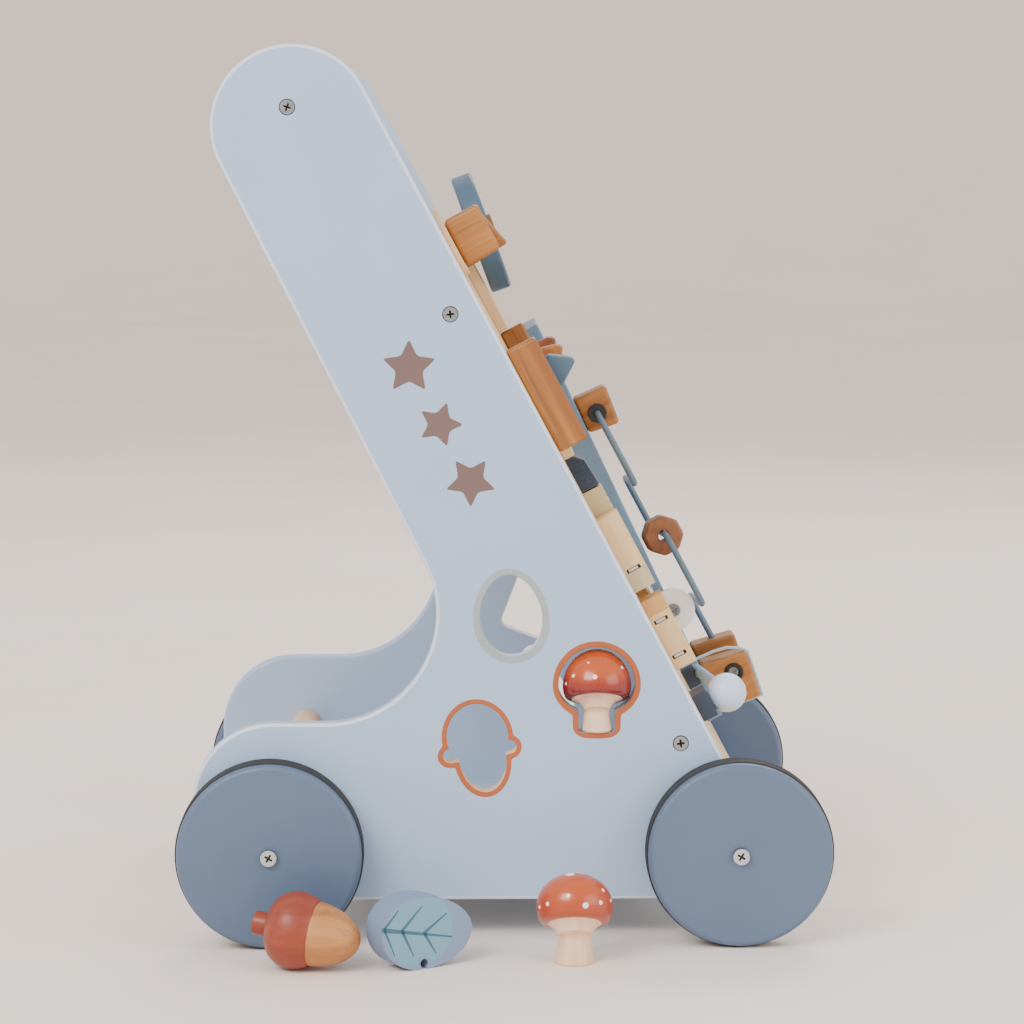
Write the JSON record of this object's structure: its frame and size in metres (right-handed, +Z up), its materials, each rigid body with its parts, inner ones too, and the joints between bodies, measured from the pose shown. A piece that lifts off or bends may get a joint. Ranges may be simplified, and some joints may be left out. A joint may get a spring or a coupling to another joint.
{
  "type": "baby walker",
  "caption": "Wooden push walker with sloping side panels, rubber-ringed wheels, push handle, activity board, shape-sorting openings and loose turned blocks.",
  "frame": {"origin": "on the floor, midway between the two axles and midway between the side panels", "axes": "+X forwards, towards the activity board, +Y to the walker's left, +Z up"},
  "size_m": [0.367, 0.3829, 0.5],
  "materials": {
    "panel_paint": "satin grey-blue paint on plywood",
    "birch_ply": "clear matt lacquer on birch plywood",
    "beech_pale": "oiled pale beech",
    "floor_paint": "matt light blue paint",
    "steel": "zinc-plated",
    "wheel_paint": "satin blue-grey paint",
    "rubber": "matt black rubber",
    "beech": "oiled beech",
    "blue_paint": "satin blue paint",
    "slate_paint": "satin slate blue paint",
    "brown_paint": "satin orange-brown stain",
    "navy_felt": "navy felt",
    "sand_paint": "matt sand paint",
    "cream_paint": "matt cream paint",
    "key_steel": "brushed",
    "base_paint": "satin light blue paint",
    "black_plastic": "matt",
    "band_paint": "satin light blue",
    "wire_paint": "satin blue-grey",
    "bead_stain": "stained beech",
    "white_paint": "satin white paint",
    "navy_plastic": "matt navy",
    "pale_blue_paint": "satin pale blue paint",
    "ball_paint": "satin pale blue paint",
    "red_paint": "gloss red fading to orange, white dots",
    "acorn_stain": "satin orange-brown stain",
    "acorn_wood": "oiled wood",
    "leaf_paint": "matt light blue with painted veins"
  },
  "bodies": {
    "frame": {"right_side_panel": "panel_paint", "left_side_panel": "panel_paint", "activity_board": "birch_ply", "handle_bar": "beech_pale", "rear_crossbar": "beech_pale", "box_floor": "floor_paint", "upper_rail": "beech_pale", "lower_rail": "beech_pale", "panel_screws": "steel", "axle_bolts": "steel", "axle_washers": "steel", "axle_nuts": "steel", "steering_plate": "birch_ply", "steering_wedge": "beech", "dial_plate": "birch_ply", "leaning_block": "beech", "board_screws": "steel", "gear_rails": "beech", "gear_rod": "beech_pale", "board_lath": "birch_ply", "navy_block": "navy_felt", "ribbed_block": "sand_paint", "xylophone_rails": "cream_paint", "xylophone_rests": "birch_ply", "xylophone_keys": "key_steel", "xylophone_pins": "steel", "bead_base": "base_paint", "upper_wire_block": "beech", "lower_front_block": "beech", "lower_rear_block": "beech", "wire_grommets": "black_plastic", "block_band": "band_paint", "bead_wire": "wire_paint", "mallet_rests": "navy_plastic"},
    "rear_right": {"rear_right_wheel": "wheel_paint", "rear_right_tyre": "rubber"},
    "rear_left": {"rear_left_wheel": "wheel_paint", "rear_left_tyre": "rubber"},
    "front_right": {"front_right_wheel": "wheel_paint", "front_right_tyre": "rubber"},
    "front_left": {"front_left_wheel": "wheel_paint", "front_left_tyre": "rubber"},
    "steering": {"steering_wheel": "blue_paint", "steering_hub": "beech"},
    "dial": {"dial_knob": "beech"},
    "blue_gear": {"gear_blue": "slate_paint"},
    "beech_gear": {"gear_beech": "beech"},
    "brown_gear": {"gear_brown": "brown_paint"},
    "pale_gear": {"gear_pale": "blue_paint"},
    "bead": {"octagon_bead": "bead_stain"},
    "white_disc": {"white_spinner": "white_paint"},
    "mallet": {"mallet_stick": "pale_blue_paint", "mallet_head": "ball_paint"},
    "fitted_mushroom": {"mushroom_cap": "red_paint", "mushroom_stem": "beech_pale"},
    "loose_mushroom": {"loose_mushroom_cap": "red_paint", "loose_mushroom_stem": "beech_pale"},
    "acorn": {"acorn_cap": "acorn_stain", "acorn_nut": "acorn_wood"},
    "leaf": {"leaf_block": "leaf_paint"}
  },
  "joints": [
    {"name": "rear_right_spin", "type": "hinge", "parent": "frame", "child": "rear_right", "pos_m": [-0.131, -0.147, 0.0525], "axis": [0, 1, 0], "continuous": true},
    {"name": "rear_left_spin", "type": "hinge", "parent": "frame", "child": "rear_left", "pos_m": [-0.131, 0.147, 0.0525], "axis": [0, 1, 0], "continuous": true},
    {"name": "front_right_spin", "type": "hinge", "parent": "frame", "child": "front_right", "pos_m": [0.131, -0.147, 0.0525], "axis": [0, 1, 0], "continuous": true},
    {"name": "front_left_spin", "type": "hinge", "parent": "frame", "child": "front_left", "pos_m": [0.131, 0.147, 0.0525], "axis": [0, 1, 0], "continuous": true},
    {"name": "steering_turn", "type": "hinge", "parent": "frame", "child": "steering", "pos_m": [-0.01745, 0.02, 0.391], "axis": [0.9388, 0, 0.3445], "continuous": true},
    {"name": "dial_turn", "type": "hinge", "parent": "frame", "child": "dial", "pos_m": [-0.02465, -0.087, 0.39089], "axis": [0.8817, 0, 0.4718], "continuous": true},
    {"name": "blue_gear_spin", "type": "hinge", "parent": "frame", "child": "blue_gear", "pos_m": [0.02458, -0.086, 0.30608], "axis": [0, 1, 0], "continuous": true},
    {"name": "beech_gear_spin", "type": "hinge", "parent": "frame", "child": "beech_gear", "pos_m": [0.02458, -0.058, 0.30608], "axis": [0, 1, 0], "continuous": true},
    {"name": "brown_gear_spin", "type": "hinge", "parent": "frame", "child": "brown_gear", "pos_m": [0.02458, -0.03, 0.30608], "axis": [0, 1, 0], "continuous": true},
    {"name": "pale_gear_spin", "type": "hinge", "parent": "frame", "child": "pale_gear", "pos_m": [0.02458, -0.004, 0.30608], "axis": [0, 1, 0], "continuous": true},
    {"name": "white_disc_spin", "type": "hinge", "parent": "frame", "child": "white_disc", "pos_m": [0.10471, 0.0272, 0.16523], "axis": [0, 1, 0], "continuous": true},
    {"name": "bead_slide", "type": "slide", "parent": "frame", "child": "bead", "axis": [-0.0787, 0.996, -0.0421], "range_m": [-0.0015, 0.012]},
    {"name": "mallet_lift", "type": "slide", "parent": "frame", "child": "mallet", "axis": [0.8817, 0, 0.4718], "range_m": [0, 0.06]},
    {"name": "fitted_mushroom_slide", "type": "slide", "parent": "frame", "child": "fitted_mushroom", "axis": [0, 1, 0], "range_m": [-0.05, 0.06]},
    {"name": "loose_mushroom_lift", "type": "slide", "parent": "frame", "child": "loose_mushroom", "axis": [0, 0, 1], "range_m": [0, 0.05]},
    {"name": "acorn_lift", "type": "slide", "parent": "frame", "child": "acorn", "axis": [0, 0, 1], "range_m": [0, 0.05]},
    {"name": "leaf_lift", "type": "slide", "parent": "frame", "child": "leaf", "axis": [0, 0, 1], "range_m": [0, 0.05]}
  ]
}
